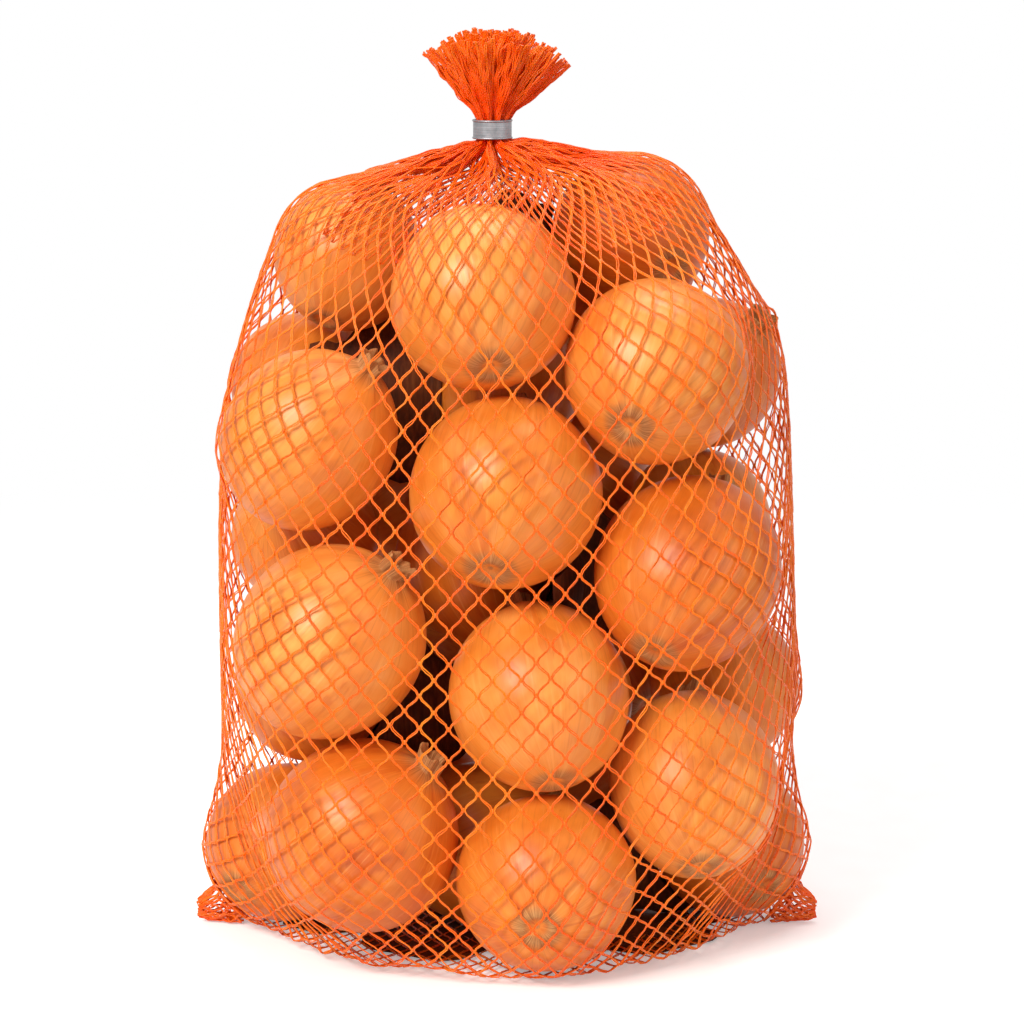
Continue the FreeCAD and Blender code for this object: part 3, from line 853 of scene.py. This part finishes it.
def filaments(knots, up, around, j, rows, fold):
    """The two filaments of strand j between two rows, as lines of points with their values."""
    path, side, places = wale_path(knots, j)
    column = places // 2
    row = np.arange(len(knots))
    upward = up[row, column]
    across = around[row, column]
    folds = fold[row, column]
    low, high = rows
    path, side, upward, across, folds = (x[low : high + 1] for x in (path, side, upward, across, folds))
    joint = path + (side * JOINT_HALF)[:, None] * across
    chord = np.linalg.norm(np.diff(joint, axis=0), axis=1)
    random = np.random.default_rng(900 + j)
    phase = random.uniform(0, 2 * math.pi, 4)
    share = np.arange(STEPS) / STEPS
    one = (2 * share**3 - 3 * share**2 + 1)[None, :, None]
    two = (share**3 - 2 * share**2 + share)[None, :, None]
    three = (-2 * share**3 + 3 * share**2)[None, :, None]
    four = (share**3 - share**2)[None, :, None]
    bend = (SWELL * chord)[:, None, None]
    middle = one * joint[:-1, None] + three * joint[1:, None]
    middle = middle + bend * (two * upward[:-1, None] + four * upward[1:, None])
    middle = np.vstack([middle.reshape(-1, 3), joint[-1:]])
    way = unit(np.gradient(middle, axis=0))
    span = np.arange(len(middle)) / STEPS
    flat = unit(np.stack([np.interp(span, np.arange(len(across)), across[:, k]) for k in range(3)], 1))
    flat = unit(flat - (flat * way).sum(1, keepdims=True) * way)
    out = np.cross(flat, way)
    twist = 0.55 * np.sin(0.9 * span + phase[0]) + 0.35 * np.sin(2.3 * span + phase[1])
    gap = 1 + 0.55 * np.clip(np.sin(1.7 * span + phase[2]), 0, 1) ** 3
    gap = gap * (0.86 + 0.14 * np.cos(2 * np.pi * span + math.pi))
    offset = (np.cos(twist) * gap)[:, None] * flat + np.sin(twist)[:, None] * out
    tone = random.uniform(0.2, 0.8)
    run = np.concatenate([[0], np.cumsum(np.linalg.norm(np.diff(middle, axis=0), axis=1))]) / MM
    folded = np.interp(span, np.arange(len(folds)), folds)
    lines = []
    for sign in (1, -1):
        line = middle + sign * PARTING * offset
        line = line + random.normal(0, 0.05 * MM, line.shape)
        lines.append(line)
    values = {"along": [run, run + 0.6], "tone": [np.full(len(run), tone)] * 2, "fold": [folded] * 2}
    return lines, values


def folded(knots):
    """How much the net is drawn together at each knot: 0 where the cells are open, 1 in a fold. It sets how
    much painted shade the yarn gets.
    """
    gap = np.linalg.norm(np.roll(knots, -1, 1) - knots, axis=2)
    fold = 1 - smooth_step(gap, 0.6 * MM, 5.5 * MM)
    return (fold + np.roll(fold, 1, 1) + np.roll(fold, -1, 1)) / 3


class Knitting:
    """Makes strands and joints out of knots, with the node trees that grow them."""

    def __init__(self, net, material):
        self.net = net
        self.strand_nodes, self.radius = strand_tree("knitted_filaments", material)
        self.bead = loop_bead()
        self.joint_nodes, self.size = bead_tree("knitted_joints", material, self.bead)

    def strands(self, name, knots, wales, rows, fold_shade_share=1.0):
        """The strands between two rows, kept out of the onions where they start at the first row."""
        up, around = tangents(knots)
        # The last argument scales the painted shade in the folds.
        fold = folded(knots) * fold_shade_share
        lines, values = [], {"along": [], "tone": [], "fold": []}
        for j in wales:
            some, more = filaments(knots, up, around, j, rows, fold)
            lines += some
            for key, value in more.items():
                values[key] += value
        if rows[0] == 0:
            ends = np.cumsum([len(line) for line in lines])[:-1]
            lines = np.split(self.net.push_out(np.vstack(lines)), ends)
        source = line_object(name, lines, values)
        return baked(name, source, self.strand_nodes, {self.radius: FILAMENT})

    def joints(self, name, knots, wales, rows):
        """A knitted loop at each knot between two rows."""
        up, around = tangents(knots)
        columns = sorted({w // 2 for w in wales})
        row, c = np.array([(row, c) for row in range(*rows) for c in columns]).T
        mesh = bpy.data.meshes.new(name)
        mesh.from_pydata([tuple(p) for p in knots[row, c]], [], [])
        ways = {"up": up[row, c], "out_way": np.cross(around[row, c], up[row, c])}
        # The joints get the same painted shade in the folds as the strands.
        add_values(mesh, {**ways, "tone": np.full(len(row), 0.5), "fold": folded(knots)[row, c]})
        return baked(name, placed(name, mesh), self.joint_nodes, {self.size: JOINT_SIZE})


# Tuft, corners, and loose skins that are dark as painted shade


class TuftShape:
    """Where the cut ends of the net fan out above the clip, in nested layers."""

    lean_left = math.radians(43)
    lean_right = math.radians(53)
    lean_depth = math.radians(27)
    length = 36.2 * MM

    def __init__(self, foot, layer):
        self.foot = foot
        self.lean, self.change = TUFT_LAYERS[layer]
        random = np.random.default_rng(70 + layer)
        self.cut = random.uniform(0.93, 1.0, 2 * COLUMNS)
        self.stray = random.normal(0, 0.018, (2 * COLUMNS, 2))

    def knot(self, place, share):
        """A knot's place, share of the way from the clip to the cut end."""
        angle = 2 * math.pi * place / (2 * COLUMNS)
        pleat = math.cos(PLEATS * angle + PLEAT_TURN)
        fold = self.lean - self.change * (0.5 - 0.5 * pleat)
        lean_x = (self.lean_right if math.cos(angle) > 0 else self.lean_left) * math.cos(angle) * fold
        lean_y = self.lean_depth * math.sin(angle) * fold
        lean_x += self.stray[place, 0] * self.lean
        lean_y += self.stray[place, 1] * self.lean
        way = np.array([math.tan(lean_x), math.tan(lean_y), 1.0])
        way = way / np.linalg.norm(way)
        s = share * self.length * self.cut[place]
        open_up = float(smooth_step(share, -0.35, 0.35))
        drift = np.array([0, 0, 1.0]) * (1 - open_up) + way * open_up
        radius = 4.6 + 1.4 * pleat + 0.4 * math.cos(SMALL_PLEATS * angle + SMALL_PLEAT_TURN)
        radius *= 0.4 + 0.6 * self.lean
        start = np.array([radius * math.cos(angle), radius * math.sin(angle), 0]) * MM
        return self.foot + start * (1 - 0.5 * share) + drift * s


def tuft_knots(foot, layer):
    shape = TuftShape(foot, layer)
    rows = []
    for k in range(TUFT_ROWS + 1):
        places = 2 * np.arange(COLUMNS) + (layer + k) % 2
        rows.append([shape.knot(place, k / TUFT_ROWS) for place in places])
    return np.array(rows)


def corner_knots(side, net):
    """A pointed end of the bottom seam: the net drawn together into a small ear."""
    random = np.random.default_rng(31 + int(side))
    tip = np.array([side * 125.8, 0, 6.2])
    foot = np.array([side * 108.0, 0, 12.5])
    knots = np.zeros((EAR_ROWS + 1, EAR_COLUMNS, 3))
    for row in range(EAR_ROWS + 1):
        share = row / EAR_ROWS
        middle = tip + (foot - tip) * share
        tall = 3.2 + 9.6 * share**0.75
        deep = 0.8 + 8.0 * share
        angle = 2 * math.pi * (2 * np.arange(EAR_COLUMNS) + row % 2) / (2 * EAR_COLUMNS)
        ripple = 1 + 0.10 * np.cos(5 * angle + 3 * share) + random.normal(0, 0.05, EAR_COLUMNS)
        knots[row, :, 0] = middle[0] + random.normal(0, 0.35, EAR_COLUMNS)
        knots[row, :, 1] = deep * np.cos(angle) * ripple
        knots[row, :, 2] = middle[2] + tall * np.sin(angle) * ripple
    return net.push_out(knots * MM)


def loose_skin_and_shade(number, centre, radius, lying, turned, material, net):
    """A dry skin that has come off, caught between onions: a crumpled thin shell, draped over them. Its dark
    colour is painted shade for the gap that it fills.
    """
    random = np.random.default_rng(500 + number)
    turn = 2 * math.pi * np.arange(SKIN_POINTS) / SKIN_POINTS
    edge = 1 + 0.10 * np.cos(3 * turn + random.uniform(0, 6))
    edge += 0.07 * np.cos(7 * turn + random.uniform(0, 6))
    share = (np.arange(SKIN_RINGS) + 1) / SKIN_RINGS
    across = radius * share[:, None] * (edge * np.cos(turn))[None]
    tall = radius * share[:, None] * (edge * np.sin(turn))[None]
    phases = random.uniform(0, 6, 3)
    wave = np.cos(across / (9 * MM) + phases[0]) + np.cos(tall / (11 * MM) + phases[1])
    deep = 1.6 * MM * wave + 0.25 * (across**2 + tall**2) / radius
    sine, cosine = math.sin(math.radians(lying)), math.cos(math.radians(lying))
    back = deep * cosine + tall * sine
    aside, ahead = math.sin(math.radians(turned)), math.cos(math.radians(turned))
    flat = across * ahead - back * aside, across * aside + back * ahead
    shape = np.stack([*flat, tall * cosine - deep * sine], 2) + centre
    for _ in range(DRAPES):
        shape = net.push_out(shape, SKIN_LIFT)
        inner = (shape[:-2] + shape[2:]) / 4 + (np.roll(shape, 1, 1) + np.roll(shape, -1, 1))[1:-1] / 4
        shape[1:-1] = 0.5 * shape[1:-1] + 0.5 * inner
    shape = net.push_out(shape, SKIN_LIFT)
    front = np.vstack([shape.reshape(-1, 3), shape[0].mean(0)])
    points = np.vstack([front, front + np.array([-cosine * aside, cosine * ahead, -sine]) * SKIN_THICKNESS])
    skin = points / (30 * MM) + number * 5.1
    piece = new_piece(f"loose_skin_{number + 1}", points, shell_faces(len(front)), material, skin=skin)
    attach(piece, "bag")


def shell_faces(size):
    """Faces of a round shell: two layers of rings with size points each, the middle last, and an edge."""
    faces = []
    for r in range(SKIN_RINGS - 1):
        for c in range(SKIN_POINTS):
            d = (c + 1) % SKIN_POINTS
            low, high = r * SKIN_POINTS, (r + 1) * SKIN_POINTS
            quad = (low + c, low + d, high + d, high + c)
            faces += [quad, tuple(size + k for k in reversed(quad))]
    rim = (SKIN_RINGS - 1) * SKIN_POINTS
    for c in range(SKIN_POINTS):
        d = (c + 1) % SKIN_POINTS
        faces += [(size - 1, d, c), (2 * size - 1, size + c, size + d)]
        faces.append((rim + c, rim + d, size + rim + d, size + rim + c))
    return faces


# Studio


def studio():
    """A pale floor, a white surround and soft light from the upper left."""
    scene = bpy.context.scene
    scene.view_settings.view_transform = "Standard"
    world = bpy.data.worlds.new("surround")
    scene.world = world
    world.use_nodes = True
    nodes = Nodes(world.node_tree)
    back = nodes.tree.nodes["Background"]
    back.inputs["Color"].default_value = (1, 1, 1, 1)
    seen = nodes.seen("Camera", "Glossy", "Transmission")
    nodes.feed(back.inputs["Strength"], seen * (1 - SURROUND_LIGHT) + SURROUND_LIGHT)

    mesh = bpy.data.meshes.new("studio_floor")
    corners = [(x * FLOOR_HALF, y * FLOOR_HALF, 0) for x, y in ((-1, -1), (1, -1), (1, 1), (-1, 1))]
    mesh.from_pydata(corners, [], [(0, 1, 2, 3)])
    mesh.materials.append(pale_floor())
    placed("studio_floor", mesh)

    for name, place, size, power, colour in LAMPS:
        lamp = bpy.data.lights.new(name, "AREA")
        lamp.shape = "DISK"
        lamp.size = size
        lamp.energy = power
        lamp.color = colour
        light = placed(name, lamp)
        light.location = place
        light.rotation_euler = (LAMPS_AT - Vector(place)).to_track_quat("-Z", "Y").to_euler()

    camera = bpy.data.cameras.new("camera")
    camera.sensor_width = 36.0
    camera.lens = LENS
    eye = placed("camera", camera)
    eye.location = EYE
    eye.rotation_euler = (LOOKS_AT - EYE).to_track_quat("-Z", "Y").to_euler()
    scene.camera = eye


def pale_floor():
    """Matt white near the object, where it takes the shadow, and plain white light further off."""
    f = Finish("pale_floor")
    speck = f.noise(f.place(), 60.0, detail=2.0)
    shade = f.ramp(speck, (0.3, srgb(244, 244, 243)), (0.7, srgb(249, 249, 249)))
    glow = f.mix(f.seen("Camera", "Glossy"), (0, 0, 0, 1), (1, 1, 1, 1))
    f.fixed(Emission_Strength=FLOOR_GLOW, Specular_IOR_Level=0.1)
    f.done(Base_Color=shade, Roughness=0.9, Emission_Color=glow)
    away = f.node("ShaderNodeVectorMath", {"operation": "LENGTH"}, {0: f.place()}, out="Value")
    white = f.node("ShaderNodeEmission", {}, {"Color": glow, "Strength": 1.0})
    nearby = Sum(f, f.shader.outputs[0])
    both = f.node("ShaderNodeMixShader", {}, {0: f.step(away, 0.28, 1.1), 1: nearby, 2: white})
    f.feed(f.tree.nodes["Material Output"].inputs["Surface"], both)
    return f.material


# The object


studio()
skin_finish = onion_skin()
yarn_finish = net_yarn()
onion_names = sorted(n for n in frame["nodes"] if n.startswith("onion_"))
bulbs = [Bulb(name) for name in onion_names]
for number, bulb in enumerate(bulbs):
    bulb.build(number, skin_finish)

clip_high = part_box("clip")[1]
clip = frame["nodes"]["clip"]
clip.data.materials.clear()
clip.data.materials.append(brushed_aluminium())

net = Net(bulbs, neck_joint)
net.relax()
net.pleat()

foot = np.array([neck_joint[0], 0, clip_high.z])
rise = (0, 0, clip_high.z - neck_joint[2])
clip_row = np.array([neck_joint + net.pleated(2 * c + (ROWS + 1) % 2) + rise for c in range(COLUMNS)])
knots = np.concatenate([net.knots, clip_row[None]])

knitting = Knitting(net, yarn_finish)
sector = 2 * COLUMNS // NET_PARTS
for number in range(NET_PARTS):
    name = f"net_part_{number + 1}"
    wales = range(number * sector, (number + 1) * sector)
    tubes = knitting.strands(name, knots, wales, (0, ROWS + 1))
    beads = knitting.joints(name + "_joints", knots, wales, (0, ROWS + 1))
    piece = joined(name, [tubes, beads])
    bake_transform(piece)
    if number == 0:
        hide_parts("net_front", "net_back", "net_neck", "bottom_seam", "corner_left", "corner_right")

# The folds' inner layer, under the ridges of the crown
up, around = tangents(knots)
inward = -unit(np.cross(around, up)) * FOLD_DEPTH
reach = np.linalg.norm(knots - neck_joint, axis=2)
inner = knots + inward * smooth_step(reach, 6 * MM, 16 * MM)[..., None]
inner[-2:, :, :2] = foot[:2] + (inner[-2:, :, :2] - foot[:2]) * 0.6
crown = knitting.strands("net_crown_folds", inner, range(2 * COLUMNS), (ROWS - CROWN_ROWS, ROWS + 1))
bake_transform(crown)

# The ears get a little under half of the painted shade in their folds.
for name, side in (("net_corner_left", -1.0), ("net_corner_right", 1.0)):
    ear = knitting.strands(name, corner_knots(side, net), range(2 * EAR_COLUMNS), (0, EAR_ROWS), 0.45)
    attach(ear, "bag")

# Painted shade in the tuft: strongest by the clip, less towards the cut ends.
fold_shade_share = np.linspace(0.95, 0.25, TUFT_ROWS + 1)[:, None]
for layer in range(len(TUFT_LAYERS)):
    fan = tuft_knots(foot, layer)
    tuft = knitting.strands(f"tuft_strands_{layer + 1}", fan, range(2 * COLUMNS), (0, TUFT_ROWS), fold_shade_share)
    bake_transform(tuft)
    if layer == 0:
        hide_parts("net_tuft")
bpy.data.objects.remove(knitting.bead)

# Dark skins in the gaps between the onions and on the floor under the bag, partly real dry skins and partly
# painted shade.
dark_skin_shade_material = dark_skin_shade_finish()
for number, (x, y, z, radius, lying, turned) in enumerate(SHADE_FILLING_SKINS):
    loose_skin_and_shade(number, np.array([x, y, z]) * MM, radius * MM, lying, turned, dark_skin_shade_material, net)

bpy.context.view_layer.update()
